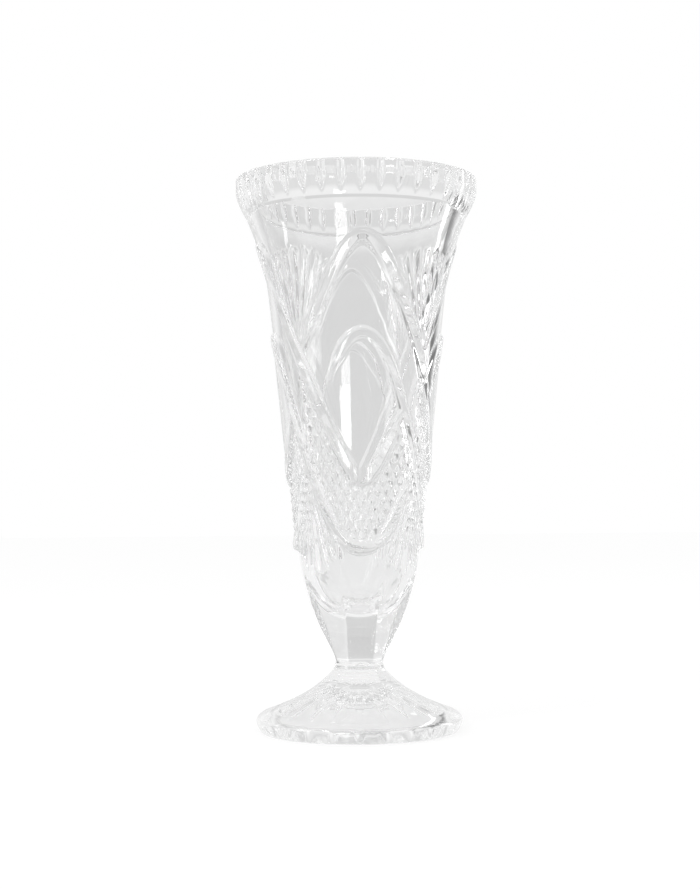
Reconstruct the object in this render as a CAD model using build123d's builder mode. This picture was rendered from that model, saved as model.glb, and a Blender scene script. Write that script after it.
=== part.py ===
"""A footed trumpet vase in clear pressed glass.

Four pieces of glass, fused hot and stacked on one vertical axis: the foot, the collar (a plain
wafer), the eight-sided stem and the trumpet bowl. Two wavy bands, each with a raised ridge along
both of its edges, run round the bowl and pass over and under each other where they cross.

The origin is the centre of the resting ring, +Z is up, and the vase faces -Y. Lengths are in
millimetres and angles in degrees.
"""

import os
from math import asin, cos, radians, sin

from build123d import *

# Heights of the four pieces, from the table up
foot_height = 28.5
collar_thickness = 3.0
stem_length = 16.5
base_taper_height = 34.0
cone_height = 115.0
flare_height = 37.0
rim_band_height = 16.0

# Bowl, outside. Below the cone the radius is that of the edges between the facets.
base_radius = 19.5
cone_base_radius = 28.9
cone_top_radius = 40.5
ledge_radius = 50.6
ledge_step = 0.6
rim_radius = 54.7
rim_curve_height = 10.0
rim_curve_share = 0.7
rim_rounding = 1.0

# Bowl, inside
rim_wall = 5.0
cone_top_wall = 5.0
cone_base_wall = 6.4
floor_thickness = 6.0

# Flutes cut into the outside of the rim
rim_flute_count = 40
rim_flute_turn = 7.5
rim_flute_depth = 1.5
rim_flute_width = 4.4

# Interlaced bands: two waves round the bowl, each with an upper and a lower ridge
panel_count = 4
arch_apex_drop = 16.0
arch_trough_rise = 32.0
apex_band_width = 40.5
trough_band_width = 30.0
straight_leg_share = 0.9
narrow_crest_share = 1.35
hook_angle = 23.5
slope_step = 0.5
upper_ridge_width = 5.8
lower_ridge_width = 4.8
ridge_height = 0.6
band_depth = 0.6
ridge_overlap = 1.3
ridge_root_share = 0.6
ridge_stations = 11

# Fans above and below each crossing: creases between blades that spread from a root
fan_blade_angle = 7.4
fan_crease_depth = 0.8
fan_crease_width = 2.6
fan_crease_start_width = 0.6
upper_fan_drop = 65.0
upper_fan_reaches = ((16.0, 45.0), (18.0, 44.0), (20.0, 43.0))
lower_fan_rise = 31.0
lower_fan_reaches = ((14.0, 38.0), (16.0, 36.0), (18.0, 30.0))

# Facets of the stem and of the bowl's base
facet_share = 0.93
side_facet_height = 24.0

# Stem
neck_radius = 11.9
neck_reach = 2.5
stem_shoulder_reach = 6.0

# Collar
collar_radius = 11.5
collar_rounding = 0.7

# Foot
foot_neck_radius = 11.9
foot_flare_radius = 16.5
foot_flare_drop = 6.7
foot_spread_radius = 28.0
foot_spread_height = 13.5
shoulder_radius = 43.5
shoulder_height = 8.6
foot_radius = 47.0
foot_edge_height = 5.0
rest_ring_outer_radius = 45.0
rest_ring_inner_radius = 38.0
hollow_radius = 12.0
hollow_height = 13.0
hollow_bend_radius = 26.0
hollow_bend_height = 11.0

# Flutes of the foot
foot_flute_count = 10
foot_flute_share = 0.945
foot_flute_depth = 1.5
foot_flute_runout = 0.5
foot_flute_hollow_radius = 120.0
foot_flute_turn = -3.5

# Cutting tools reach this far past the glass
overrun = 3.0

# Levels that follow from the heights
collar_base = foot_height
stem_base = collar_base + collar_thickness
bowl_base = stem_base + stem_length
cone_base = bowl_base + base_taper_height
flare_base = cone_base + cone_height
ledge = flare_base + flare_height
rim_top = ledge + rim_band_height
cavity_floor = bowl_base + floor_thickness

cone_slope = (cone_top_radius - cone_base_radius) / cone_height
base_bend_radius = cone_base_radius - cone_slope * base_taper_height / 2
flare_bend_radius = cone_top_radius + cone_slope * flare_height / 2
base_slope = (base_bend_radius - base_radius) / (base_taper_height / 2)


def bowl_radius(z):
    """Outer radius of the plain bowl at a height: a straight cone that bends at both ends."""
    cone_radius = cone_base_radius + cone_slope * (z - cone_base)
    if z < cone_base:
        bend = cone_base_radius - cone_slope * base_taper_height - base_radius
        return cone_radius - bend * ((cone_base - z) / base_taper_height) ** 2
    if z > flare_base:
        bend = ledge_radius - cone_top_radius - cone_slope * flare_height
        return cone_radius + bend * ((z - flare_base) / flare_height) ** 2
    return cone_radius


# Ridges of the interlaced bands

arch_apex = ledge - arch_apex_drop
arch_trough = cone_base + arch_trough_rise
inner_apex = arch_apex - apex_band_width
inner_trough = arch_trough - trough_band_width

quarter = 360 / panel_count
panel_edge = quarter / 2 + ridge_overlap


def upper_wave(angle):
    """Height of a band's upper ridge at an angle from its crest: a wave with straightened legs."""
    share = asin(straight_leg_share * cos(radians(2 * angle))) / asin(straight_leg_share)
    return (arch_apex + arch_trough) / 2 + (arch_apex - arch_trough) / 2 * share


def lower_wave(angle):
    """Height of a band's lower ridge at an angle from its crest: a narrow crest, a broad trough."""
    share = (cos(radians(angle)) ** 2) ** narrow_crest_share
    return inner_trough + (inner_apex - inner_trough) * share


def ridge_side(first_angle, last_angle, wave, crest, offset):
    """Points of one long side of a ridge, as the panel is seen from straight in front.

    The side runs beside the wave at a fixed distance, measured on the bowl's surface.
    """
    points = []
    for i in range(ridge_stations):
        angle = first_angle + (last_angle - first_angle) * i / (ridge_stations - 1)
        z = wave(angle - crest)
        radius = bowl_radius(z)
        rise = wave(angle - crest + slope_step) - wave(angle - crest - slope_step)
        slope = rise / radians(2 * slope_step) / radius
        length = (1 + slope**2) ** 0.5
        side_z = z + offset / length
        side_angle = radians(angle) - offset * slope / length / radius
        points.append((bowl_radius(side_z) * sin(side_angle), side_z))
    return points


# Angle where a trough's upper ridge meets the lower ridge of the arch that covers it
corner_angle, beyond = 0.0, quarter / 2
while beyond - corner_angle > slope_step / 2:
    between = (corner_angle + beyond) / 2
    if upper_wave(quarter - between) < lower_wave(between):
        corner_angle = between
    else:
        beyond = between

# The four ridges that cross one panel. An arch comes out from under the band on its left and
# passes over the one on its right; a trough comes over from the left and goes under on the right.
ridge_lines = (
    (-quarter / 2, panel_edge, upper_wave, 0, upper_ridge_width),
    (-hook_angle, panel_edge, lower_wave, 0, lower_ridge_width),
    (-panel_edge, corner_angle, upper_wave, quarter, upper_ridge_width),
    (-panel_edge, quarter / 2, lower_wave, quarter, lower_ridge_width),
)

# Each ridge is drawn on a plane behind the panel's wall, pushed forward and cut off at an even
# height above the outside of the bowl.
ridge_root = Plane.XZ.offset(ridge_root_share * cone_base_radius)
ridges = []
for first_angle, last_angle, wave, crest, width in ridge_lines:
    upper_side = ridge_side(first_angle, last_angle, wave, crest, width / 2)
    lower_side = ridge_side(first_angle, last_angle, wave, crest, -width / 2)
    with BuildPart() as ridge:
        with BuildSketch(ridge_root):
            with BuildLine():
                Spline(*upper_side)
                Spline(*lower_side)
                Line(upper_side[0], lower_side[0])
                Line(upper_side[-1], lower_side[-1])
            make_face()
        extrude(amount=rim_radius)
        with BuildSketch(Plane.XZ):
            with BuildLine():
                Polyline(
                    (0, bowl_base),
                    (cone_base_radius + ridge_height, bowl_base),
                    (cone_base_radius + ridge_height, cone_base),
                    (cone_top_radius + ridge_height, flare_base),
                )
                Bezier(
                    (cone_top_radius + ridge_height, flare_base),
                    (flare_bend_radius + ridge_height, flare_base + flare_height / 2),
                    (ledge_radius + ridge_height, ledge),
                )
                Polyline((ledge_radius + ridge_height, ledge), (0, ledge), (0, bowl_base))
            make_face()
        revolve(axis=Axis.Z, mode=Mode.INTERSECT)
    ridges.append(ridge.part)


def outside_space(depth):
    """The space round the bowl, from a depth below its plain outside: what a shallow cut takes."""
    with BuildPart() as space:
        with BuildSketch(Plane.XZ):
            with BuildLine():
                Bezier(
                    (base_radius - depth, bowl_base),
                    (base_bend_radius - depth, bowl_base + base_taper_height / 2),
                    (cone_base_radius - depth, cone_base),
                )
                Line((cone_base_radius - depth, cone_base), (cone_top_radius - depth, flare_base))
                Bezier(
                    (cone_top_radius - depth, flare_base),
                    (flare_bend_radius - depth, flare_base + flare_height / 2),
                    (ledge_radius - depth, ledge),
                )
                Polyline(
                    (ledge_radius - depth, ledge),
                    (rim_radius + overrun, ledge),
                    (rim_radius + overrun, bowl_base),
                    (base_radius - depth, bowl_base),
                )
            make_face()
        revolve(axis=Axis.Z)
    return space.part


# The bands lie a little lower than the ridges that edge them. One hollow follows the trough, from
# the crossing on the left to the arch that covers it; the other follows the arch.
band_space = outside_space(band_depth)
hollow_lines = (
    (-panel_edge, corner_angle, quarter / 2, quarter),
    (-corner_angle, panel_edge, panel_edge, 0),
)
hollows = []
for first_angle, upper_end, lower_end, crest in hollow_lines:
    upper_start = first_angle if crest else -quarter / 2 + ridge_overlap
    upper_side = ridge_side(upper_start, upper_end, upper_wave, crest, -upper_ridge_width / 4)
    lower_side = ridge_side(first_angle, lower_end, lower_wave, crest, lower_ridge_width / 4)
    with BuildPart() as hollow:
        with BuildSketch(ridge_root):
            with BuildLine():
                Spline(*upper_side)
                Spline(*lower_side)
                Line(upper_side[0], lower_side[0])
                Line(upper_side[-1], lower_side[-1])
            make_face()
        extrude(amount=rim_radius)
        add(band_space, mode=Mode.INTERSECT)
    hollows.append(hollow.part)

# Creases of the fans on both sides of the panel. Each is a narrow kite that points away from the
# fan's root, cut to an even depth below the outside of the bowl.
crease_space = outside_space(fan_crease_depth)
upper_fan_root = ledge - upper_fan_drop
lower_fan_root = cone_base + lower_fan_rise
creases = []
for root, upwards, reaches in (
    (upper_fan_root, 1, upper_fan_reaches),
    (lower_fan_root, -1, lower_fan_reaches),
):
    for side in (-1, 1):
        fan_plane = Plane.XZ.rotated((0, 0, side * quarter / 2))
        for place, (start, end) in enumerate(reaches):
            turn = radians(fan_blade_angle * (place + 0.5))
            outline = []
            for reach, half_width in (
                (start, fan_crease_start_width / 2),
                (end - fan_crease_width, fan_crease_width / 2),
                (end, 0),
                (end - fan_crease_width, -fan_crease_width / 2),
                (start, -fan_crease_start_width / 2),
            ):
                across = reach * sin(turn) + half_width * cos(turn)
                up = reach * cos(turn) - half_width * sin(turn)
                outline.append((-side * across, root + upwards * up))
            with BuildPart() as crease:
                with BuildSketch(fan_plane.offset(ridge_root_share * cone_base_radius)):
                    with BuildLine():
                        Polyline(*outline, close=True)
                    make_face()
                extrude(amount=rim_radius)
                add(crease_space, mode=Mode.INTERSECT)
            creases.append(crease.part)


# Bowl, one quarter: the sector of the front panel, from the crossing on its left to the one on
# its right

left_plane = Plane.XZ.rotated((0, 0, -90 - quarter / 2))
front_plane = Plane.XZ.rotated((0, 0, -90))
right_plane = Plane.XZ.rotated((0, 0, -90 + quarter / 2))
column_top = bowl_base + side_facet_height
column_middle = bowl_base + side_facet_height / 2
column_middle_share = facet_share + (1 - facet_share) / 4

with BuildPart() as panel:
    with BuildSketch(left_plane):
        with BuildLine():
            Line((0, bowl_base), (base_radius, bowl_base))
            Bezier(
                (base_radius, bowl_base),
                (base_bend_radius, bowl_base + base_taper_height / 2),
                (cone_base_radius, cone_base),
            )
            Line((cone_base_radius, cone_base), (cone_top_radius, flare_base))
            Bezier(
                (cone_top_radius, flare_base),
                (flare_bend_radius, flare_base + flare_height / 2),
                (ledge_radius, ledge),
            )
            Line((ledge_radius, ledge), (ledge_radius + ledge_step, ledge))
            Bezier(
                (ledge_radius + ledge_step, ledge),
                (rim_radius, ledge + rim_curve_share * rim_curve_height),
                (rim_radius, ledge + rim_curve_height),
            )
            Line((rim_radius, ledge + rim_curve_height), (rim_radius, rim_top - rim_rounding))
            Bezier(
                (rim_radius, rim_top - rim_rounding),
                (rim_radius, rim_top),
                (rim_radius - rim_rounding, rim_top),
            )
            Polyline((rim_radius - rim_rounding, rim_top), (0, rim_top), (0, bowl_base))
        make_face()
    revolve(axis=Axis.Z, revolution_arc=quarter)

    # Facets: a tall one under the panel, short ones that run out under the crossings
    with BuildSketch(front_plane):
        with BuildLine():
            Bezier(
                (facet_share * base_radius, bowl_base),
                (facet_share * base_bend_radius, bowl_base + base_taper_height / 2),
                (facet_share * cone_base_radius, cone_base),
            )
            Polyline(
                (facet_share * cone_base_radius, cone_base),
                (cone_base_radius + overrun, cone_base),
                (cone_base_radius + overrun, bowl_base - overrun),
                (facet_share * base_radius, bowl_base - overrun),
                (facet_share * base_radius, bowl_base),
            )
        make_face()
    extrude(amount=cone_base_radius, both=True, mode=Mode.SUBTRACT)
    with BuildSketch(left_plane, right_plane):
        with BuildLine():
            Spline(
                (facet_share * base_radius, bowl_base),
                (column_middle_share * bowl_radius(column_middle), column_middle),
                (bowl_radius(column_top), column_top),
            )
            Polyline(
                (bowl_radius(column_top), column_top),
                (cone_base_radius + overrun, column_top),
                (cone_base_radius + overrun, bowl_base - overrun),
                (facet_share * base_radius, bowl_base - overrun),
                (facet_share * base_radius, bowl_base),
            )
        make_face()
    extrude(amount=cone_base_radius, both=True, mode=Mode.SUBTRACT)

    add(hollows, mode=Mode.SUBTRACT)
    add(creases, mode=Mode.SUBTRACT)
    add(ridges)
    split(bisect_by=left_plane, keep=Keep.BOTTOM)
    split(bisect_by=right_plane, keep=Keep.TOP)

    # Cavity: a straight cone that flares to the mouth and ends in a rounded floor
    with BuildSketch(Plane.XZ):
        with BuildLine():
            cavity_radius = cone_base_radius - cone_base_wall
            cavity_top_radius = cone_top_radius - cone_top_wall
            cavity_slope = (cavity_top_radius - cavity_radius) / cone_height
            mouth_radius = rim_radius - rim_wall
            mouth_height = flare_height + rim_band_height
            Bezier(
                (0, cavity_floor),
                (cavity_radius - cavity_slope * (cone_base - cavity_floor), cavity_floor),
                (cavity_radius, cone_base),
            )
            Line((cavity_radius, cone_base), (cavity_top_radius, flare_base))
            Bezier(
                (cavity_top_radius, flare_base),
                (cavity_top_radius + cavity_slope * mouth_height / 2, flare_base + mouth_height / 2),
                (mouth_radius, rim_top - rim_rounding),
            )
            Bezier(
                (mouth_radius, rim_top - rim_rounding),
                (mouth_radius, rim_top),
                (mouth_radius + rim_rounding, rim_top),
            )
            Polyline((mouth_radius + rim_rounding, rim_top), (0, rim_top), (0, cavity_floor))
        make_face()
    revolve(axis=Axis.Z, mode=Mode.SUBTRACT)


# Bowl: four panels, and the flutes round the rim

with BuildPart() as bowl:
    with PolarLocations(0, panel_count):
        add(panel.part)

    # Rim flutes: upright V-cuts that run out to a point where the band curves in
    with BuildSketch(Plane.XY.offset(ledge)):
        with PolarLocations(rim_radius, rim_flute_count, start_angle=rim_flute_turn):
            flute_reach = rim_flute_width / rim_flute_depth * (rim_flute_depth + overrun) / 2
            Polygon(
                (-rim_flute_depth, 0),
                (overrun, -flute_reach),
                (overrun, flute_reach),
                align=None,
            )
    extrude(amount=rim_band_height + overrun, mode=Mode.SUBTRACT)


# Stem

facet_count = 2 * panel_count
facet_planes = [Plane.XZ.rotated((0, 0, 360 / facet_count * i)) for i in range(facet_count)]

with BuildPart() as stem:
    neck_bend = stem_base + neck_reach
    shoulder_bend = bowl_base - stem_shoulder_reach
    shoulder_bend_radius = base_radius - base_slope * stem_shoulder_reach
    with BuildSketch(Plane.XZ):
        with BuildLine():
            Bezier(
                (neck_radius, stem_base),
                (neck_radius, neck_bend),
                (shoulder_bend_radius, shoulder_bend),
                (base_radius, bowl_base),
            )
            Polyline((base_radius, bowl_base), (0, bowl_base), (0, stem_base), (neck_radius, stem_base))
        make_face()
    revolve(axis=Axis.Z)
    with BuildSketch(*facet_planes):
        with BuildLine():
            Bezier(
                (facet_share * neck_radius, stem_base),
                (facet_share * neck_radius, neck_bend),
                (facet_share * shoulder_bend_radius, shoulder_bend),
                (facet_share * base_radius, bowl_base),
            )
            Polyline(
                (facet_share * base_radius, bowl_base),
                (base_radius + overrun, bowl_base),
                (base_radius + overrun, stem_base),
                (facet_share * neck_radius, stem_base),
            )
        make_face()
    extrude(amount=base_radius, both=True, mode=Mode.SUBTRACT)


# Collar

with BuildPart() as collar:
    with BuildSketch(Plane.XY.offset(collar_base)):
        Circle(collar_radius)
    extrude(amount=collar_thickness)
    fillet(collar.edges(), collar_rounding)


# Foot

flare_bend_height = foot_height - foot_flare_drop

# One flute's cutter: its floor, turned about an upright axis outside the foot, so that the flute
# is slightly hollow across and runs out in a rounded end before the shoulder.
with BuildPart() as foot_flute:
    with BuildSketch(Plane.XZ):
        with BuildLine():
            Bezier(
                (foot_flute_share * foot_neck_radius, foot_height),
                (foot_flute_share * foot_flare_radius, flare_bend_height - foot_flute_depth / 2),
                (foot_spread_radius, foot_spread_height - foot_flute_depth),
                (shoulder_radius, shoulder_height + foot_flute_runout),
            )
            Polyline(
                (shoulder_radius, shoulder_height + foot_flute_runout),
                (shoulder_radius, foot_height + overrun),
                (foot_flute_share * foot_neck_radius, foot_height + overrun),
                (foot_flute_share * foot_neck_radius, foot_height),
            )
        make_face()
    revolve(axis=Axis((foot_flute_hollow_radius, 0, 0), (0, 0, 1)))

with BuildPart() as foot:
    with BuildSketch(Plane.XZ):
        with BuildLine():
            Bezier(
                (foot_neck_radius, foot_height),
                (foot_flare_radius, flare_bend_height),
                (foot_spread_radius, foot_spread_height),
                (shoulder_radius, shoulder_height),
            )
            Bezier(
                (shoulder_radius, shoulder_height),
                (foot_radius, (shoulder_height + foot_edge_height) / 2),
                (foot_radius, foot_edge_height),
            )
            Bezier(
                (foot_radius, foot_edge_height),
                (foot_radius, foot_edge_height / 2),
                (rest_ring_outer_radius, 0),
            )
            Line((rest_ring_outer_radius, 0), (rest_ring_inner_radius, 0))
            Bezier(
                (rest_ring_inner_radius, 0),
                (hollow_bend_radius, hollow_bend_height),
                (hollow_radius, hollow_height),
            )
            Polyline(
                (hollow_radius, hollow_height),
                (0, hollow_height),
                (0, foot_height),
                (foot_neck_radius, foot_height),
            )
        make_face()
    revolve(axis=Axis.Z)
    with PolarLocations(0, foot_flute_count, start_angle=foot_flute_turn):
        add(foot_flute.part, mode=Mode.SUBTRACT)


# One STEP file per piece

os.makedirs("parts", exist_ok=True)
for name, piece in {"bowl": bowl, "stem": stem, "collar": collar, "foot": foot}.items():
    piece.part.label = name
    export_step(piece.part, f"parts/{name}.step")
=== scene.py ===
# %% [markdown]
# # A footed trumpet vase in pressed glass
#
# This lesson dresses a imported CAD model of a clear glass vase. The CAD model has four pieces of
# glass that were fused hot on one axis: bowl, stem, collar and foot. Each becomes one closed mesh
# here, with the fine carving that the CAD solids leave out: cross-hatched diamonds and the star
# under the foot. The frame is loaded first, because heights and outer radii are read from it.

# %% Load the frame
import math

import bpy
import numpy as np
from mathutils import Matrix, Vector


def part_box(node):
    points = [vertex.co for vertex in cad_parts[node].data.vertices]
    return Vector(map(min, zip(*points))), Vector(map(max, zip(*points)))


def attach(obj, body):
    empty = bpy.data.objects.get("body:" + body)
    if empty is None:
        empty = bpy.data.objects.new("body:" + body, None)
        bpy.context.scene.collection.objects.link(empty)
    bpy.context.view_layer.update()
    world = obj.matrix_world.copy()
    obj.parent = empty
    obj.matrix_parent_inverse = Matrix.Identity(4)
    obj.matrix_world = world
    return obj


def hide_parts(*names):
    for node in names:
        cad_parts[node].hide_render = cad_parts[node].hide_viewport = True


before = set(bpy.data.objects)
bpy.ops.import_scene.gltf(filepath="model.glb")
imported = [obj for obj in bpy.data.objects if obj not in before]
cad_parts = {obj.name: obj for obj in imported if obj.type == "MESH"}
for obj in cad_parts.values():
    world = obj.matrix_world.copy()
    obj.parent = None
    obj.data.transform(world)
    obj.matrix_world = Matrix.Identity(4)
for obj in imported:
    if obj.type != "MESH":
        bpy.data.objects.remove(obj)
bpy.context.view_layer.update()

# %% [markdown]
# ## Sizes
#
# Blender works in metres, but a glass maker thinks in millimetres, so every size of the vase is
# named in millimetres and multiplied by `MM` once, when a mesh is made. The levels where two
# pieces meet and the outer radii come from the boxes of the CAD nodes, so that the pieces land on
# the frame.

# %% Levels and radii from the CAD nodes
MM = 0.001
box_mm = {name: [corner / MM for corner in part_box(name)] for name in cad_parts}

foot_height = box_mm["foot"][1].z
stem_base = box_mm["stem"][0].z
bowl_base = box_mm["bowl"][0].z
rim_top = box_mm["bowl"][1].z
rim_radius = box_mm["bowl"][1].x
foot_radius = box_mm["foot"][1].x
collar_radius = box_mm["collar"][1].x
print(f"rim at {rim_top:.1f}, bowl from {bowl_base:.1f} mm")
print(f"stem from {stem_base:.1f}, foot to {foot_height:.1f} mm")

# %% Sizes of the bowl
taper_height = 34.0
cone_height = 115.0
rim_band_height = 16.0
cone_base = bowl_base + taper_height
flare_base = cone_base + cone_height
ledge = rim_top - rim_band_height
base_radius = 19.5
cone_base_radius = 28.9
cone_top_radius = 40.5
ledge_radius = 50.6
ledge_step = 0.25
facet_share = 0.93
print(f"cone from {cone_base:.1f} to {flare_base:.1f}, ledge at {ledge:.1f} mm")

# %% [markdown]
# ## Helpers for shapes that turn
#
# Every piece here is close to a turned shape. A screw modifier could spin a profile, but the
# pattern on the glass changes with the angle as well as with the height. So each piece is a grid:
# rows of (radius, height) from a profile, and columns round the axis. `bezier_rows` gives smooth
# profile rows, `blunt_min` joins two surfaces with a rounded edge, as fire-polishing leaves it,
# and `soft_step` fades a form in or out.

# %% Profile and edge helpers
def bezier_rows(rows, *controls):
    """Rows of (radius, height) along a Bezier curve with these control points."""
    t = np.linspace(0, 1, rows)[:, None]
    n = len(controls) - 1
    weights = [math.comb(n, i) * t**i * (1 - t) ** (n - i) for i in range(n + 1)]
    return sum(weight * np.array(point) for weight, point in zip(weights, controls))


def blunt_min(a, b, edge):
    """The lower of two values, rounded over about the width of edge where they meet."""
    return (a + b - np.sqrt((a - b) ** 2 + edge**2)) / 2


def soft_step(x, width):
    """0 below x = 0 and 1 above x = width, with a smooth ramp between."""
    t = np.clip(x / width, 0, 1)
    return t * t * (3 - 2 * t)


columns = 640
turn = -45 + 360 / columns * np.arange(columns)
print(columns, "columns round the axis, from the crossing left of the front panel")

# %% [markdown]
# ## From rings to a mesh
#
# `glass_piece` takes rings of points from the bottom pole to the top pole and closes them into a
# watertight mesh. Faces that lie in a fused joint get a second material slot, because in the real
# vase two pieces of glass that melt together leave no surface there. Next to a joint `with_seams`
# adds a row, so that the smooth shading of the sides does not bend towards the flat joint.

# %% Mesh builder
inner_ring = np.array([[0.5], [0.97]])


def ring_points(radius, height):
    """Points of rings in mm: radius and height in rows by columns. Angle 0 faces -Y."""
    radius, height, angle = np.broadcast_arrays(radius, height, np.radians(turn))
    return np.stack([radius * np.sin(angle), -radius * np.cos(angle), height], axis=-1)


def with_seams(rows):
    """The same rows with one more close to each end."""
    share = 0.03
    low = rows[:1] + share * (rows[1:2] - rows[:1])
    high = rows[-1:] + share * (rows[-2:-1] - rows[-1:])
    return np.concatenate([rows[:1], low, rows[1:-1], high, rows[-1:]])


def glass_piece(name, rings, low_pole, high_pole, joint_levels):
    """A closed mesh object from rings of points; joint_levels are heights of fused faces."""
    rows, count = rings.shape[:2]
    poles = [(0, 0, low_pole)], [(0, 0, high_pole)]
    points = np.concatenate([poles[0], rings.reshape(-1, 3), poles[1]]) * MM
    j = np.arange(count)
    after = (j + 1) % count
    faces = [np.stack([0 * j, 1 + after, 1 + j], axis=1).tolist()]
    for i in range(rows - 1):
        low, high = 1 + i * count, 1 + (i + 1) * count
        corners = [low + j, low + after, high + after, high + j]
        faces.append(np.stack(corners, axis=1).tolist())
    last = 1 + (rows - 1) * count
    top = 0 * j + len(points) - 1
    faces.append(np.stack([last + j, last + after, top], axis=1).tolist())
    faces = [face for strip in faces for face in strip]
    mesh = bpy.data.meshes.new(name)
    mesh.from_pydata(points.tolist(), [], faces)
    on_level = np.isclose(points[:, 2:], np.array(joint_levels) * MM, rtol=0, atol=1e-9)
    in_joint = np.array([on_level[face].all(axis=0).any() for face in faces])
    mesh.polygons.foreach_set("use_smooth", ~in_joint)
    mesh.polygons.foreach_set("material_index", in_joint.astype(np.int32))
    mesh.update()
    piece = bpy.data.objects.new(name, mesh)
    bpy.context.scene.collection.objects.link(piece)
    print(f"{name}: {len(mesh.vertices)} points, {len(mesh.polygons)} faces")
    return piece

# %% [markdown]
# ## The interlaced bands
#
# Two wavy bands run round the bowl, each edged by an upper and a lower ridge. One has its crests
# where the other has its troughs, so they cross four times, and each band goes over on its right
# and under on its left. They could be curves projected on the bowl, but a height field keeps the
# mesh one clean skin. The four panels are alike, so only one quarter is worked out and repeated.

# %% Lines of the bands, in degrees from a panel's middle and in mm of height
arch_apex = ledge - 16.0
arch_trough = cone_base + 32.0
inner_apex = arch_apex - 40.5
inner_trough = arch_trough - 30.0
straightness = 0.9
inner_power = 1.35


def upper_line(angle):
    """Height of a band's upper ridge at an angle from its crest: a wave with straight legs."""
    share = np.arcsin(straightness * np.cos(np.radians(2 * angle))) / math.asin(straightness)
    return (arch_apex + arch_trough) / 2 + (arch_apex - arch_trough) / 2 * share


def lower_line(angle):
    """Height of a band's lower ridge at an angle from its crest, with a broad trough."""
    share = (np.cos(np.radians(angle)) ** 2) ** inner_power
    return inner_trough + (inner_apex - inner_trough) * share


under_angle, hook_angle, corner_angle, lower_end = 41.0, 23.5, 31.0, 43.0
upper_steps, lower_steps = 260, 240
along = np.linspace(-under_angle, 90 + corner_angle, upper_steps)
upper_path = np.column_stack([along, upper_line(along)])
along = np.linspace(-hook_angle, 90 + lower_end, lower_steps)
lower_path = np.column_stack([along, lower_line(along)])
print(f"upper ridge from {upper_path[:, 1].min():.1f} to {upper_path[:, 1].max():.1f} mm")

# %% [markdown]
# ## The plain bowl under the pattern
#
# Below the pattern the bowl is a straight cone that bends in to the stem and out to the rim.
# `bowl_radius` gives that outline as a formula, the same as in the CAD model, so that any height
# can be asked for.

# %% Outline of the bowl
cone_slope = (cone_top_radius - cone_base_radius) / (flare_base - cone_base)


def bowl_radius(z):
    """Outer radius of the plain bowl at a height, up to the ledge under the rim band."""
    cone = cone_base_radius + cone_slope * (z - cone_base)
    low_bend = cone_base_radius - cone_slope * (cone_base - bowl_base) - base_radius
    high_bend = ledge_radius - cone_top_radius - cone_slope * (ledge - flare_base)
    low = np.clip((cone_base - z) / (cone_base - bowl_base), 0, None)
    high = np.clip((z - flare_base) / (ledge - flare_base), 0, None)
    return cone - low_bend * low**2 + high_bend * high**2


margin_below, margin_above = 6.0, 5.0
base_rows, pattern_rows, flare_rows = 34, 236, 14
pattern_base, pattern_top = inner_trough - margin_below, arch_apex + margin_above
body_rows = with_seams(np.concatenate([
    np.linspace(bowl_base, pattern_base, base_rows),
    np.linspace(pattern_base, pattern_top, pattern_rows)[1:],
    np.linspace(pattern_top, ledge - ledge_step, flare_rows)[1:],
]))
panel_turn = turn[: columns // 4]
angle, z = np.meshgrid(panel_turn, body_rows)
plain = bowl_radius(z)
print("bowl radius at the ledge", round(float(plain[-1, 0]), 2), "mm")

# %% [markdown]
# ## Ridges
#
# A ridge is a rounded bead. For every point of the grid the nearest point of each ridge line is
# found, measured along the glass, and the bead rises where that distance is under half its width.
# The ends taper, so a ridge that goes under a band runs out in a soft hook. At the bottom of each
# trough the upper ridge melts into the smooth panel above it, as it does on the real vase.

# %% Beads along the band lines
upper_width, lower_width, ridge_height = 6.2, 5.2, 0.8
side_width = 1.0
end_length = 14
end_share, crest_share = 0.45, 0.7
melt_angle, melt_ramp, melt_height = 7.5, 4.0, 12.0
far_off = 9.0
stretch_steps = 40


def bead(path, width):
    """Height share of a bead and distance from its edge, over the panel and its neighbours."""
    share = np.zeros_like(z)
    nearest = np.full_like(z, far_off)
    for shift in (-90, 0, 90):
        for_row = np.radians(angle + shift)[..., None] * plain[..., None]
        for start in range(0, len(path), stretch_steps):
            part = path[start : start + stretch_steps + 1]
            side = for_row - np.radians(part[:, 0]) * plain[..., None]
            gap = np.hypot(side, z[..., None] - part[:, 1])
            place = gap.argmin(axis=2)
            gap = np.take_along_axis(gap, place[..., None], 2)[..., 0]
            from_end = np.minimum(start + place, len(path) - 1 - start - place)
            half = width / 2 * (end_share + (1 - end_share) * soft_step(from_end, end_length))
            dome = np.sqrt(np.clip(1 - (gap / half) ** 2, 0, None))
            crest = crest_share + (1 - crest_share) * dome
            share = np.maximum(share, crest * soft_step(half - gap, side_width))
            nearest = np.minimum(nearest, gap - half)
    return share, nearest


upper_bead, off_upper = bead(upper_path, upper_width)
lower_bead, off_lower = bead(lower_path, lower_width)
melted = (z < arch_trough + melt_height) * soft_step(melt_angle - np.abs(angle), melt_ramp)
ridges = ridge_height * np.maximum(upper_bead * (1 - melted), lower_bead)
off_ridge = np.minimum(off_upper, off_lower)
print("ridges cover", round(float((ridges > 0).mean()) * 100), "% of the body")

# %% [markdown]
# ## Diamonds
#
# Each band lies a little below the bowl's skin, and its trough is cross-hatched: two sets of
# V-grooves leave small four-sided points. Carving each point by hand would be slow, so a triangle
# wave in two slanted directions makes them, and a mask keeps them in one patch of each trough, off
# the ridges.

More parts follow.
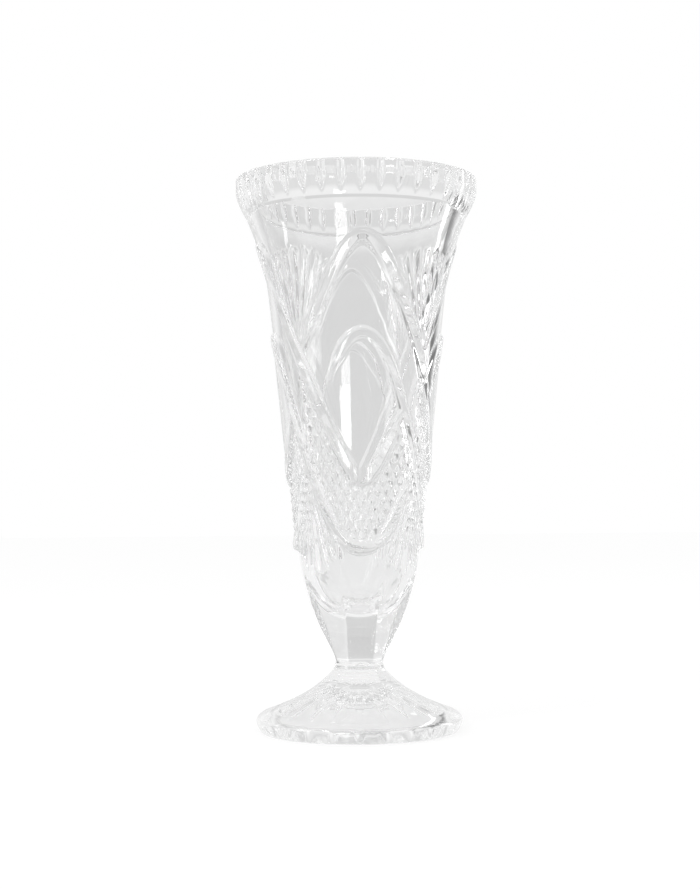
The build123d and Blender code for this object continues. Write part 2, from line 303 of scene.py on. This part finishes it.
# %% Cross-hatched diamonds
diamond_width, diamond_height, diamond_depth = 4.65, 8.2, 1.25
lattice_share = 1.07
lattice_radius = cone_base_radius * lattice_share
patch_top, patch_half, patch_lean = 158.0, 39.0, 0.18
trough_low_depth, arch_low_depth, depth_change = 0.1, 0.5, 0.3
crest_overlap, crest_ramp = 0.5, 1.0
from_trough = 90 - np.abs(angle)
trough_upper, trough_lower = upper_line(from_trough), lower_line(from_trough)
arch_upper, arch_lower = upper_line(angle), lower_line(angle)
in_trough = (z < trough_upper) & (z > trough_lower) & ~((angle > 0) & (z > arch_lower))
in_arch = (z < arch_upper) & (z > arch_lower) & ~((angle < 0) & (z < trough_upper))


def between(low, high):
    """Share of the way up from one line to another, from 0 to 1."""
    return np.clip((z - low) / np.maximum(high - low, 1), 0, 1)


across = np.radians(angle) * lattice_radius / diamond_width
up = (z - inner_trough) / diamond_height
zigzag = [1 - np.abs(2 * (lattice % 1) - 1) for lattice in (across + up, across - up)]
patch_edge = patch_half + patch_lean * (z - arch_trough)
patch = in_trough & (z < patch_top) & (np.abs(angle) < patch_edge)
points = diamond_depth * (1 - np.minimum(*zigzag)) * patch
trough_depth = trough_low_depth + depth_change * between(trough_lower, trough_upper)
arch_depth = arch_low_depth - depth_change * between(arch_lower, arch_upper)
hollow = in_trough * trough_depth + in_arch * arch_depth
off_crest = soft_step(off_ridge + crest_overlap, crest_ramp)
pits = (hollow + points) * off_crest
print("diamonds cover", round(float(patch.mean()) * 100), "% of the body")

# %% [markdown]
# ## Fans
#
# A fan of seven blades opens upwards above each crossing and another one opens downwards below
# it. In polar coordinates about the fan's root a blade is a stripe of angle, so a cosine over that
# angle makes rounded blades with creases between them, and a scalloped limit rounds their tips.

# %% Fans above and below the crossings
blade_angle, blade_count = 7.4, 7
blade_height, crease_depth = 0.3, 1.25
upper_root, upper_length, upper_droop = 169.0, 47.0, 0.3
lower_root, lower_length, lower_droop = 113.0, 41.0, 1.3
tip_ramp, ridge_ramp, crease_ramp_share = 0.8, 0.5, 0.6
facet_margin, step_margin = 1.5, 3.0
from_crossing = np.radians(angle - np.where(angle < 0, -45, 45)) * plain


def fan(root, upwards, length, droop, allowed):
    """Relief of one fan: blades stand proud, creases cut in, side blades are shorter."""
    up = (z - root) * (1 if upwards else -1)
    reach = np.hypot(from_crossing, up)
    blade = np.degrees(np.arctan2(from_crossing, up)) / blade_angle
    crease = np.abs(blade - np.round(blade)) * 2
    length = length - droop * np.round(blade) ** 2
    half_tip = length * math.radians(blade_angle) / 2
    tip = length - half_tip * (1 - np.sqrt(np.clip(1 - crease**2, 0, None)))
    inside = soft_step(tip - reach, tip_ramp) * (np.abs(blade) < blade_count / 2) * (up > 0)
    depth = crease_depth * soft_step(reach, length * crease_ramp_share)
    clear = soft_step(off_ridge, ridge_ramp)
    return inside * allowed * clear * (blade_height - depth * crease**2)


above = (z > arch_upper) & (z > trough_upper)
facet_edge = math.degrees(math.acos(facet_share)) + facet_margin
beside_facet = (np.abs(angle) > facet_edge) | (z > cone_base + step_margin)
below = (z < trough_lower) & (z < arch_lower) & beside_facet
fans = fan(upper_root, True, upper_length, upper_droop, above)
fans = fans + fan(lower_root, False, lower_length, lower_droop, below)
print("fans cut", round(float(-fans.min()), 2), "mm deep at most")

# %% [markdown]
# ## Facets at the bowl's base
#
# Eight flat facets carry on from the stem. The four under the panels are tall and end in a step
# below the band, the four under the crossings run out soon. A flat facet is a plane, so its
# radius grows with one over the cosine of the angle from its middle.

# %% Facets
side_facet_height = 24.0
side_facet_share = 0.885
facet_blunt = 0.25
step_gap, step_ramp = 2.0, 1.0


def facet_radius(middle, share):
    """Radius of a flat facet with its middle at an angle, as a share of the plain radius."""
    return plain * share / np.cos(np.radians(np.clip(angle - middle, -60, 60)))


facet_rise = np.clip((z - bowl_base) / side_facet_height, 0, 1)
side_share = side_facet_share + (1 - side_facet_share) * facet_rise**2
tall = blunt_min(plain, facet_radius(0, facet_share), facet_blunt)
body = plain + (tall - plain) * soft_step(trough_lower - step_gap - z, step_ramp)
for middle in (-45, 45):
    cut = blunt_min(body, facet_radius(middle, side_share), facet_blunt)
    body = np.where(z < bowl_base + side_facet_height, cut, body)
print("facets step in", round(float((plain - body).max()), 2), "mm at most")

# %% [markdown]
# ## Join the reliefs and repeat the panel
#
# Pressed glass has no sharp corner: the mould's edges are a little round and the flame softens
# them more. A light blur over the height field does the same, and it also keeps the creases from
# showing the grid. The hollow bands and their diamonds stay out of the blur, because it would wash
# the points away. Four copies of the quarter go round the bowl.

# %% The bowl's outer skin
def fire_polish(field):
    """A small blur along both directions of a height field that repeats round the axis."""
    field = (np.roll(field, 1, 1) + 2 * field + np.roll(field, -1, 1)) / 4
    field[1:-1] = (field[:-2] + 2 * field[1:-1] + field[2:]) / 4
    return field


panels = (1, 4)
relief = fire_polish(np.tile(body - plain + ridges + fans, panels)) - np.tile(pits, panels)
skin_radius = bowl_radius(body_rows)[:, None] + relief
print("outer skin", skin_radius.shape, "rows and columns")

# %% [markdown]
# ## The rim
#
# A band with forty upright V-flutes stands out above a narrow ledge. The flutes cut through the
# top edge, which is why the rim looks notched. A V is two planes, so the flute is a straight line
# in the distance from its middle, and `blunt_min` lets it bite into the band.

# %% Rim band and lip
flute_count, flute_turn = 40, 7.5
flute_depth, flute_width, flute_lean, flute_blunt = 1.5, 3.2, 0.085, 0.12
rim_wall, rim_rounding = 5.0, 1.0
curve_bend_height, curve_height = 7.0, 10.0
mouth_radius = rim_radius - rim_wall
curve_bend, curve_top = ledge + curve_bend_height, ledge + curve_height
round_base = rim_top - rim_rounding
lip_outer, lip_inner = rim_radius - rim_rounding, mouth_radius + rim_rounding
band_foot = (ledge_radius + ledge_step, ledge)
band = np.concatenate([
    bezier_rows(12, band_foot, (rim_radius, curve_bend), (rim_radius, curve_top)),
    bezier_rows(6, (rim_radius, curve_top), (rim_radius, round_base))[1:],
    bezier_rows(6, (rim_radius, round_base), (rim_radius, rim_top), (lip_outer, rim_top))[1:],
    bezier_rows(6, (lip_outer, rim_top), (lip_inner, rim_top))[1:],
])
pitch = 360 / flute_count
off_flute = np.abs((turn - flute_turn + pitch / 2) % pitch - pitch / 2)
flute_side = np.radians(off_flute) * rim_radius * 2 * flute_depth / flute_width
flute_floor = rim_radius - flute_depth - flute_lean * (rim_top - band[:, 1:])
band_radius = blunt_min(band[:, :1], flute_floor + flute_side[None, :], flute_blunt)
band_height = np.repeat(band[:, 1:], columns, axis=1)
print(len(band), "rows on the rim, with", flute_count, "flutes")

# %% [markdown]
# ## The cavity
#
# A plunger presses the inside, so it is smooth: a flared mouth, a straight cone and a rounded
# floor. Its rows go on from the lip downwards, which closes the bowl into one skin.

# %% Cavity
cone_base_wall, cone_top_wall, floor_wall = 6.4, 5.0, 6.0
cavity_floor = bowl_base + floor_wall
cavity_radius = cone_base_radius - cone_base_wall
cavity_top = cone_top_radius - cone_top_wall
cavity_slope = (cavity_top - cavity_radius) / (flare_base - cone_base)
mouth_height = rim_top - flare_base
cavity = np.concatenate([
    bezier_rows(6, (lip_inner, rim_top), (mouth_radius, rim_top), (mouth_radius, round_base))[1:],
    bezier_rows(
        18,
        (mouth_radius, round_base),
        (cavity_top + cavity_slope * mouth_height / 2, flare_base + mouth_height / 2),
        (cavity_top, flare_base),
    )[1:],
    bezier_rows(12, (cavity_top, flare_base), (cavity_radius, cone_base))[1:],
    bezier_rows(
        16,
        (cavity_radius, cone_base),
        (cavity_radius - cavity_slope * (cone_base - cavity_floor), cavity_floor),
        (0, cavity_floor),
    )[1:-1],
])
print(len(cavity), "rows in the cavity")

# %% Bowl
bowl_rings = np.concatenate([
    ring_points(skin_radius[:1] * inner_ring, bowl_base),
    ring_points(skin_radius, body_rows[:, None]),
    ring_points(band_radius, band_height),
    ring_points(cavity[:, :1], cavity[:, 1:]),
])
bowl = glass_piece("bowl_glass", bowl_rings, bowl_base, cavity_floor, [bowl_base])

# %% [markdown]
# ## The stem
#
# The stem is a short solid piece with eight flat sides that draws in to the neck. The four sides
# under the panels widen a little towards the bowl, and the four between them take up most of the
# taper. It shares its top outline with the bowl's base, so that the facets run through the fused
# joint.

# %% Stem
neck_radius = 11.9
neck_reach, base_reach = 2.5, 6.0
neck_front, neck_side = 0.9, 0.955
half_taper = (cone_base - bowl_base) / 2
base_slope = (cone_base_radius - cone_slope * half_taper - base_radius) / half_taper
stem_rows = with_seams(bezier_rows(
    28,
    (neck_radius, stem_base),
    (neck_radius, stem_base + neck_reach),
    (base_radius - base_slope * base_reach, bowl_base - base_reach),
    (base_radius, bowl_base),
))
rise = (stem_rows[:, 1:] - stem_base) / (bowl_base - stem_base)
front_share = neck_front + (facet_share - neck_front) * rise
side_share = neck_side + (side_facet_share - neck_side) * rise
off_front = np.radians((turn + 45) % 90 - 45)
off_side = np.radians(turn % 90 - 45)
stem_radius = stem_rows[:, :1]
for share, off_middle in ((front_share, off_front), (side_share, off_side)):
    flat = stem_rows[:, :1] * share / np.cos(off_middle)
    stem_radius = blunt_min(stem_radius, flat, facet_blunt)
stem_rings = np.concatenate([
    ring_points(stem_radius[:1] * inner_ring, stem_base),
    ring_points(stem_radius, stem_rows[:, 1:]),
    ring_points(stem_radius[-1:] * inner_ring[::-1], bowl_base),
])
stem = glass_piece("stem_glass", stem_rings, stem_base, bowl_base, [stem_base, bowl_base])

# %% [markdown]
# ## The collar
#
# The collar is a wafer of glass between stem and foot. It is pressed while soft, so it takes the
# stem's outline at the top and the round of the foot below, and draws in a little between them.

# %% Collar
waist = 0.3
collar_share = with_seams(np.linspace(0, 1, 14)[:, None])
collar_top = np.minimum(stem_radius[:1], collar_radius)
collar_outline = collar_radius + (collar_top - collar_radius) * collar_share**2
collar_outline = collar_outline - waist * np.sin(math.pi * collar_share)
collar_rows = foot_height + (stem_base - foot_height) * collar_share
collar_rings = np.concatenate([
    ring_points(inner_ring * collar_outline[:1], foot_height),
    ring_points(collar_outline, collar_rows),
    ring_points(inner_ring[::-1] * collar_outline[-1:], stem_base),
])
collar_joints = [foot_height, stem_base]
collar = glass_piece("collar_glass", collar_rings, *collar_joints, collar_joints)

# %% [markdown]
# ## The foot
#
# The foot spreads to a round edge and has ten hollow flutes with ribs between them. Each flute is
# a trough that curves across as well as outwards: its floor is turned about an upright line
# outside the foot. Underneath, a shallow hollow leaves only a ring to stand on, and a star of
# twenty narrow rays is pressed into it, which shows through the glass.

# %% Foot, upper side
foot_flute_count, foot_turn = 10, -3.5
foot_flare, foot_spread = 16.5, 28.0
flute_inset = 0.945
shoulder_radius, shoulder_height = 43.5, 8.6
steep_start, steep_end = 10.6, 18.0
rib_drop, rib_sweep_height = 6.7, 13.5
floor_drop, floor_sweep_height, floor_lift = 7.45, 12.0, 0.5
profile_steps = 200
rib = bezier_rows(
    profile_steps,
    (neck_radius, foot_height),
    (foot_flare, foot_height - rib_drop),
    (foot_spread, rib_sweep_height),
    (shoulder_radius, shoulder_height),
)
floor_line = bezier_rows(
    profile_steps,
    (flute_inset * neck_radius, foot_height),
    (flute_inset * foot_flare, foot_height - floor_drop),
    (foot_spread, floor_sweep_height),
    (shoulder_radius, shoulder_height + floor_lift),
)
spread = np.concatenate([
    np.linspace(steep_start, steep_end, 34),
    np.linspace(steep_end, shoulder_radius, 52)[1:],
])[:, None]
pitch = 360 / foot_flute_count
off_rib = np.radians((turn - foot_turn) % pitch - pitch / 2)
flute_axis = 120.0
reach = flute_axis - np.hypot(flute_axis - spread * np.cos(off_rib), spread * np.sin(off_rib))
rib_height = np.interp(spread, rib[:, 0], rib[:, 1]) + 0 * reach
flute_height = np.interp(reach, floor_line[:, 0], floor_line[:, 1], right=foot_height)
top_height = blunt_min(np.minimum(rib_height, foot_height), flute_height, facet_blunt)
top_height = np.minimum(top_height, foot_height)
print("foot flutes are", round(float((rib_height - top_height).max()), 2), "mm deep at most")

# %% Foot, edge and underside
rest_outer, rest_inner = 45.0, 38.0
hollow_radius, hollow_height = 12.0, 13.0
hollow_bend = (26.0, 11.0)
edge_height, edge_low_bend = 5.0, 2.5
edge_bend = (shoulder_height + edge_height) / 2
first_ring_share = 0.1
cap_ring = np.array([[5.0]])
edge = (foot_radius, edge_height)
shoulder = (shoulder_radius, shoulder_height)
hollow_edge = (hollow_radius, hollow_height)
hollow_rows = np.concatenate([
    bezier_rows(8, (hollow_radius * first_ring_share, hollow_height), hollow_edge),
    bezier_rows(30, hollow_edge, hollow_bend, (rest_inner, 0))[1:],
])
edge_rows = np.concatenate([
    bezier_rows(8, (rest_inner, 0), (rest_outer, 0))[1:],
    bezier_rows(10, (rest_outer, 0), (foot_radius, edge_low_bend), edge)[1:],
    bezier_rows(10, edge, (foot_radius, edge_bend), shoulder)[1:-1],
])
ray_pitch, ray_depth, ray_half = 18, 0.6, 2.4
ray_start, ray_end, start_ramp, end_ramp = 3.0, 36.0, 3.0, 4.0
off_ray = np.abs((turn - foot_turn + ray_pitch / 2) % ray_pitch - ray_pitch / 2)
out = hollow_rows[:, :1]
ray = soft_step(out - ray_start, start_ramp) * soft_step(ray_end - out, end_ramp)
ray_cut = ray_depth * ray * soft_step(1 - np.radians(off_ray) * out / ray_half, 1.0)
foot_rings = np.concatenate([
    ring_points(out, hollow_rows[:, 1:] + ray_cut),
    ring_points(edge_rows[:, :1], edge_rows[:, 1:]),
    ring_points(spread[::-1], top_height[::-1]),
    ring_points(cap_ring, foot_height),
])
foot = glass_piece("foot_glass", foot_rings, hollow_height, foot_height, [foot_height])

# %% [markdown]
# ## What the glass surface shows
#
# Pressed glass is never as smooth as cut crystal: the mould leaves a faint ripple, the polish is
# uneven, and the melt leaves cords, which are faint upright streaks. All four pieces show these
# effects, so each effect is a node group, built once. The groups take the position as an input.
# They give out a height for a Bump node, a roughness and a tint.

# %% Node group helper
def new_group(name, inputs, outputs):
    """An empty shader node group with named float, vector or colour sockets."""
    group = bpy.data.node_groups.new(name, "ShaderNodeTree")
    for way, sockets in (("INPUT", inputs), ("OUTPUT", outputs)):
        for label, kind in sockets:
            group.interface.new_socket(label, in_out=way, socket_type=kind)
    return group, group.nodes.new("NodeGroupInput"), group.nodes.new("NodeGroupOutput")


def add_noise(group, vector, scale, detail):
    """A noise texture in a group, fed by a position socket."""
    noise = group.nodes.new("ShaderNodeTexNoise")
    noise.inputs["Detail"].default_value = detail
    group.links.new(vector, noise.inputs["Vector"])
    if isinstance(scale, (int, float)):
        noise.inputs["Scale"].default_value = scale
    else:
        group.links.new(scale, noise.inputs["Scale"])
    return noise

# %% Mould ripple
ripple, takes, gives = new_group(
    "mould_ripple",
    [("Position", "NodeSocketVector"), ("Scale", "NodeSocketFloat")],
    [("Height", "NodeSocketFloat")],
)
fine_scale, fine_share = 900.0, 0.05
broad = add_noise(ripple, takes.outputs["Position"], takes.outputs["Scale"], detail=1.0)
fine = add_noise(ripple, takes.outputs["Position"], fine_scale, detail=2.0)
blend = ripple.nodes.new("ShaderNodeMix")
blend.inputs["Factor"].default_value = fine_share
ripple.links.new(broad.outputs["Fac"], blend.inputs["A"])
ripple.links.new(fine.outputs["Fac"], blend.inputs["B"])
ripple.links.new(blend.outputs["Result"], gives.inputs["Height"])
print("group", ripple.name)

# %% Fire polish and tint
polish, takes, gives = new_group(
    "fire_polish",
    [
        ("Position", "NodeSocketVector"),
        ("Smoothest", "NodeSocketFloat"),
        ("Dullest", "NodeSocketFloat"),
    ],
    [("Roughness", "NodeSocketFloat")],
)
cloud_scale = 60.0
cloud = add_noise(polish, takes.outputs["Position"], cloud_scale, detail=3.0)
spread_out = polish.nodes.new("ShaderNodeMapRange")
polish.links.new(cloud.outputs["Fac"], spread_out.inputs["Value"])
polish.links.new(takes.outputs["Smoothest"], spread_out.inputs["To Min"])
polish.links.new(takes.outputs["Dullest"], spread_out.inputs["To Max"])
polish.links.new(spread_out.outputs["Result"], gives.inputs["Roughness"])

cords, takes, gives = new_group(
    "glass_cords",
    [
        ("Position", "NodeSocketVector"),
        ("Clear", "NodeSocketColor"),
        ("Streak", "NodeSocketColor"),
    ],
    [("Color", "NodeSocketColor")],
)
streak_scale, upright_share = 70.0, 0.15
stretch = cords.nodes.new("ShaderNodeMapping")
stretch.inputs["Scale"].default_value = (1.0, 1.0, upright_share)
cords.links.new(takes.outputs["Position"], stretch.inputs["Vector"])
streak = add_noise(cords, stretch.outputs["Vector"], streak_scale, detail=2.0)
shade = cords.nodes.new("ShaderNodeMix")
shade.data_type = "RGBA"
cords.links.new(streak.outputs["Fac"], shade.inputs["Factor"])
cords.links.new(takes.outputs["Clear"], shade.inputs["A"])
cords.links.new(takes.outputs["Streak"], shade.inputs["B"])
cords.links.new(shade.outputs["Result"], gives.inputs["Color"])
print("groups", polish.name, "and", cords.name)

# %% [markdown]
# ## Clear glass
#
# The Principled shader with full transmission is glass. Its base colour tints the light that goes
# through, and clear pressed glass is a neutral, very slightly grey white. Numbers that are the
# same all over, such as the refractive index, are set on the shader itself.

# %% Glass materials
ripple_depth = 0.06 * MM
smoothest = 0.01


def clear_glass(name, clear, streak, ripple_scale, dullest):
    """A clear pressed glass with its own tint, ripple and polish."""
    material = bpy.data.materials.new(name)
    material.use_nodes = True
    nodes, links = material.node_tree.nodes, material.node_tree.links
    glass = nodes["Principled BSDF"]
    glass.inputs["Metallic"].default_value = 0.0
    glass.inputs["Transmission Weight"].default_value = 1.0
    glass.inputs["IOR"].default_value = 1.5
    place = nodes.new("ShaderNodeTexCoord")
    used = {}
    for group in (ripple, polish, cords):
        used[group.name] = nodes.new("ShaderNodeGroup")
        used[group.name].node_tree = group
        links.new(place.outputs["Object"], used[group.name].inputs["Position"])
    used["mould_ripple"].inputs["Scale"].default_value = ripple_scale
    used["fire_polish"].inputs["Smoothest"].default_value = smoothest
    used["fire_polish"].inputs["Dullest"].default_value = dullest
    used["glass_cords"].inputs["Clear"].default_value = (*clear, 1.0)
    used["glass_cords"].inputs["Streak"].default_value = (*streak, 1.0)
    bump = nodes.new("ShaderNodeBump")
    bump.inputs["Strength"].default_value = 1.0
    bump.inputs["Distance"].default_value = ripple_depth
    links.new(used["mould_ripple"].outputs["Height"], bump.inputs["Height"])
    links.new(bump.outputs["Normal"], glass.inputs["Normal"])
    links.new(used["fire_polish"].outputs["Roughness"], glass.inputs["Roughness"])
    links.new(used["glass_cords"].outputs["Color"], glass.inputs["Base Color"])
    return material


bowl_tint = (0.95, 0.95, 0.95), (0.92, 0.922, 0.922)
foot_tint = (0.955, 0.955, 0.955), (0.93, 0.932, 0.932)
collar_tint = (0.96, 0.96, 0.96), (0.94, 0.94, 0.94)
bowl_glass = clear_glass("pressed_bowl_glass", *bowl_tint, ripple_scale=120.0, dullest=0.04)
stem_glass = clear_glass("drawn_stem_glass", *foot_tint, ripple_scale=140.0, dullest=0.03)
collar_glass = clear_glass("wafer_collar_glass", *collar_tint, ripple_scale=160.0, dullest=0.03)
foot_glass = clear_glass("pressed_foot_glass", *foot_tint, ripple_scale=120.0, dullest=0.04)
print("glasses:", [m.name for m in (bowl_glass, stem_glass, collar_glass, foot_glass)])

# %% [markdown]
# ## Fused joints
#
# Where two hot pieces melted together light goes straight on. The faces of a joint keep the mesh
# closed, and a clear material with no opacity lets light pass without bending.

# %% Joint material and slots
fused = bpy.data.materials.new("fused_joint")
fused.use_nodes = True
seam = fused.node_tree.nodes["Principled BSDF"]
seam.inputs["Alpha"].default_value = 0.0
seam.inputs["Roughness"].default_value = 0.02
for piece, node, glass in (
    (bowl, "bowl", bowl_glass),
    (stem, "stem", stem_glass),
    (collar, "collar", collar_glass),
    (foot, "foot", foot_glass),
):
    piece.data.materials.append(glass)
    piece.data.materials.append(fused)
    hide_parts(node)
    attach(piece, "root")
print("pieces dressed:", [o.name for o in (bowl, stem, collar, foot)])

# %% [markdown]
# ## A white floor
#
# Clear glass has no colour of its own: it shows what is round it. The vase stands on a wide sheet
# of white paper. For the camera the paper is a glow plus a little matte, so it comes out white and
# still takes the vase's shadow. Through the glass it glows a little less.

# %% Floor
floor_size = 6.0
signs = (-1, -1), (1, -1), (1, 1), (-1, 1)
corners = [(x * floor_size / 2, y * floor_size / 2, 0.0) for x, y in signs]
mesh = bpy.data.meshes.new("studio_floor")
mesh.from_pydata(corners, [], [(0, 1, 2, 3)])
floor = bpy.data.objects.new("studio_floor", mesh)
bpy.context.scene.collection.objects.link(floor)
print("floor of", floor_size, "m")

# %% Floor material
matte_light, matte_seen = 0.9, 0.2
glow_in_glass, more_for_camera = 0.79, 0.06


def math_node(nodes, operation, *constants):
    """A math node with this operation and constants by socket number."""
    node = nodes.new("ShaderNodeMath")
    node.operation = operation
    for socket, value in constants:
        node.inputs[socket].default_value = value
    return node


paper = bpy.data.materials.new("white_paper")
paper.use_nodes = True
nodes, links = paper.node_tree.nodes, paper.node_tree.links
nodes.clear()
output = nodes.new("ShaderNodeOutputMaterial")
matte = nodes.new("ShaderNodeBsdfDiffuse")
white = nodes.new("ShaderNodeEmission")
white.inputs["Color"].default_value = (1.0, 1.0, 1.0, 1.0)
kind = nodes.new("ShaderNodeLightPath")
either = math_node(nodes, "MAXIMUM")
links.new(kind.outputs["Is Camera Ray"], either.inputs[0])
links.new(kind.outputs["Is Glossy Ray"], either.inputs[1])
seen = math_node(nodes, "MAXIMUM")
links.new(either.outputs["Value"], seen.inputs[0])
links.new(kind.outputs["Is Transmission Ray"], seen.inputs[1])
part_matte = nodes.new("ShaderNodeMapRange")
part_matte.inputs["To Min"].default_value = matte_light
part_matte.inputs["To Max"].default_value = matte_seen
links.new(seen.outputs["Value"], part_matte.inputs["Value"])
links.new(part_matte.outputs["Result"], matte.inputs["Color"])
less_in_glass = math_node(nodes, "MULTIPLY", (1, glow_in_glass))
links.new(seen.outputs["Value"], less_in_glass.inputs[0])
part_white = math_node(nodes, "MULTIPLY_ADD", (1, more_for_camera))
links.new(kind.outputs["Is Camera Ray"], part_white.inputs[0])
links.new(less_in_glass.outputs["Value"], part_white.inputs[2])
links.new(part_white.outputs["Value"], white.inputs["Strength"])
both = nodes.new("ShaderNodeAddShader")
links.new(matte.outputs["BSDF"], both.inputs[0])
links.new(white.outputs["Emission"], both.inputs[1])
links.new(both.outputs["Shader"], output.inputs["Surface"])
floor.data.materials.append(paper)
print("floor material", paper.name)

# %% [markdown]
# ## A grey room
#
# The camera sees the room as white, but mirrored and refracted rays see greys: lighter strips at
# the sides, a dark door at the back on the right, and a dimmer half in front. Those differences
# draw the edges of the glass. A painted panorama could do it too, but ramps over the direction are
# easy to move. Each ramp gives a grey along one axis, and the greys are multiplied.

# %% Room
world = bpy.data.worlds.new("grey_room")
bpy.context.scene.world = world
world.use_nodes = True
nodes, links = world.node_tree.nodes, world.node_tree.links
room = nodes["Background"]
direction = nodes.new("ShaderNodeTexCoord")
parts = nodes.new("ShaderNodeSeparateXYZ")
links.new(direction.outputs["Generated"], parts.inputs["Vector"])


def grey_ramp(axis, stops, from_minus_one=True):
    """Greys from (place, grey) stops along one axis of the direction."""
    ramp = nodes.new("ShaderNodeValToRGB")
    elements = ramp.color_ramp.elements
    elements.remove(elements[1])
    for place, grey in stops:
        elements.new(place).color = (grey, grey, grey, 1.0)
    elements.remove(elements[0])
    source = parts.outputs[axis]
    if from_minus_one:
        half = math_node(nodes, "MULTIPLY_ADD", (1, 0.5), (2, 0.5))
        links.new(source, half.inputs[0])
        source = half.outputs["Value"]
    links.new(source, ramp.inputs["Fac"])
    return ramp.outputs["Color"]


def times(one, other):
    """The product of two colours, and the node that makes it."""
    product = nodes.new("ShaderNodeMix")
    product.data_type = "RGBA"
    product.blend_type = "MULTIPLY"
    product.inputs["Factor"].default_value = 1.0
    links.new(one, product.inputs["A"])
    links.new(other, product.inputs["B"])
    return product


to_right = grey_ramp("X", (
    (0.01, 0.65), (0.15, 0.7), (0.28, 1.1), (0.36, 0.9), (0.42, 0.84),
    (0.58, 0.84), (0.64, 0.9), (0.72, 1.1), (0.8, 0.75), (0.95, 0.65),
))
upward = grey_ramp("Z", (
    (0.01, 0.92), (0.2, 0.92), (0.23, 1.1), (0.27, 1.1),
    (0.3, 0.85), (0.45, 0.8), (0.55, 0.85), (0.75, 1.0),
), from_minus_one=False)
dark_door = grey_ramp("X", ((0.0, 1.0), (0.78, 1.0), (0.85, 0.3), (0.92, 0.3), (0.95, 1.0)))
backward = grey_ramp("Y", ((0.0, 0.75), (0.45, 0.75), (0.6, 1.0)))
behind = math_node(nodes, "GREATER_THAN", (1, 0.0))
links.new(parts.outputs["Y"], behind.inputs[0])
both_ways = times(to_right, upward)
with_door = times(both_ways.outputs["Result"], dark_door)
links.new(behind.outputs["Value"], with_door.inputs["Factor"])
with_front = times(with_door.outputs["Result"], backward)

kind = nodes.new("ShaderNodeLightPath")
shown = nodes.new("ShaderNodeMix")
shown.data_type = "RGBA"
shown.inputs["B"].default_value = (1.0, 1.0, 1.0, 1.0)
links.new(kind.outputs["Is Camera Ray"], shown.inputs["Factor"])
links.new(with_front.outputs["Result"], shown.inputs["A"])
links.new(shown.outputs["Result"], room.inputs["Color"])
print("room of", len(nodes), "nodes")

# %% [markdown]
# ## Lamps
#
# Each lamp is a rectangle, because glass mirrors its shape. The low card is what the front panel
# mirrors as one long white strip, the windows light the sides, and the key light brightens the
# left.

# %% Lamps
def softbox(name, place, aim, width, height, power):
    """A rectangular area lamp that looks at a point."""
    lamp = bpy.data.lights.new(name, "AREA")
    lamp.shape = "RECTANGLE"
    lamp.size, lamp.size_y = width, height
    lamp.energy = power
    light = bpy.data.objects.new(name, lamp)
    light.location = place
    light.rotation_euler = (Vector(aim) - Vector(place)).to_track_quat("-Z", "Y").to_euler()
    bpy.context.scene.collection.objects.link(light)
    return light


middle = (0.0, 0.0, rim_top * MM / 2)
strip = (0.0, 0.0, 0.145)
softbox("key_softbox", (-0.8, -0.7, 0.9), middle, width=0.2, height=0.3, power=3.0)
softbox("left_window", (-1.05, -0.42, 0.45), middle, width=0.35, height=0.9, power=3.0)
softbox("low_card", (-0.222, -0.579, 0.04), strip, width=0.15, height=0.075, power=0.27)
softbox("right_window", (1.1, 0.5, 0.5), middle, width=0.15, height=1.0, power=2.0)
print("lamps placed round", middle)

# %% [markdown]
# ## The camera
#
# The photograph was taken from a little below the middle of the vase, so the rim is seen from
# below and the foot from above. The camera looks level and uses a small shift for the framing, so
# that upright lines don't run together. A roll of less than half a degree gives the slight lean
# that the vase has in the photograph.

# %% Camera
focal_pixels, eye_row, axis_column = 1593.0, 488.0, 358.0
image_height, image_width = 889.0, 700.0
distance, eye_height, panel_turn_seen, roll = 0.727, 0.110, 3.5, 0.39
lens = bpy.data.cameras.new("camera")
lens.sensor_width = 36.0
lens.lens = focal_pixels / image_height * lens.sensor_width
lens.shift_y = (eye_row - image_height / 2) / image_height
lens.shift_x = -(axis_column - image_width / 2) / image_height
camera = bpy.data.objects.new("camera", lens)
side = math.radians(panel_turn_seen)
camera.location = (-distance * math.sin(side), -distance * math.cos(side), eye_height)
camera.rotation_euler = (math.radians(90), math.radians(roll), -side)
bpy.context.scene.collection.objects.link(camera)
bpy.context.scene.camera = camera
bpy.context.scene.view_settings.view_transform = "Standard"
print("lens", round(lens.lens, 1), "mm")

# %% [markdown]
# ## Light paths
#
# In thick glass with many facets light is thrown to and fro inside before it leaves. With the
# usual few bounces such paths end early and leave black dashes, so they may go on for longer here.

# %% Light paths deep enough for thick glass
path = bpy.context.scene.cycles
bounces = 32
path.max_bounces = path.glossy_bounces = bounces
path.transmission_bounces = path.transparent_max_bounces = bounces
print("up to", bounces, "bounces")
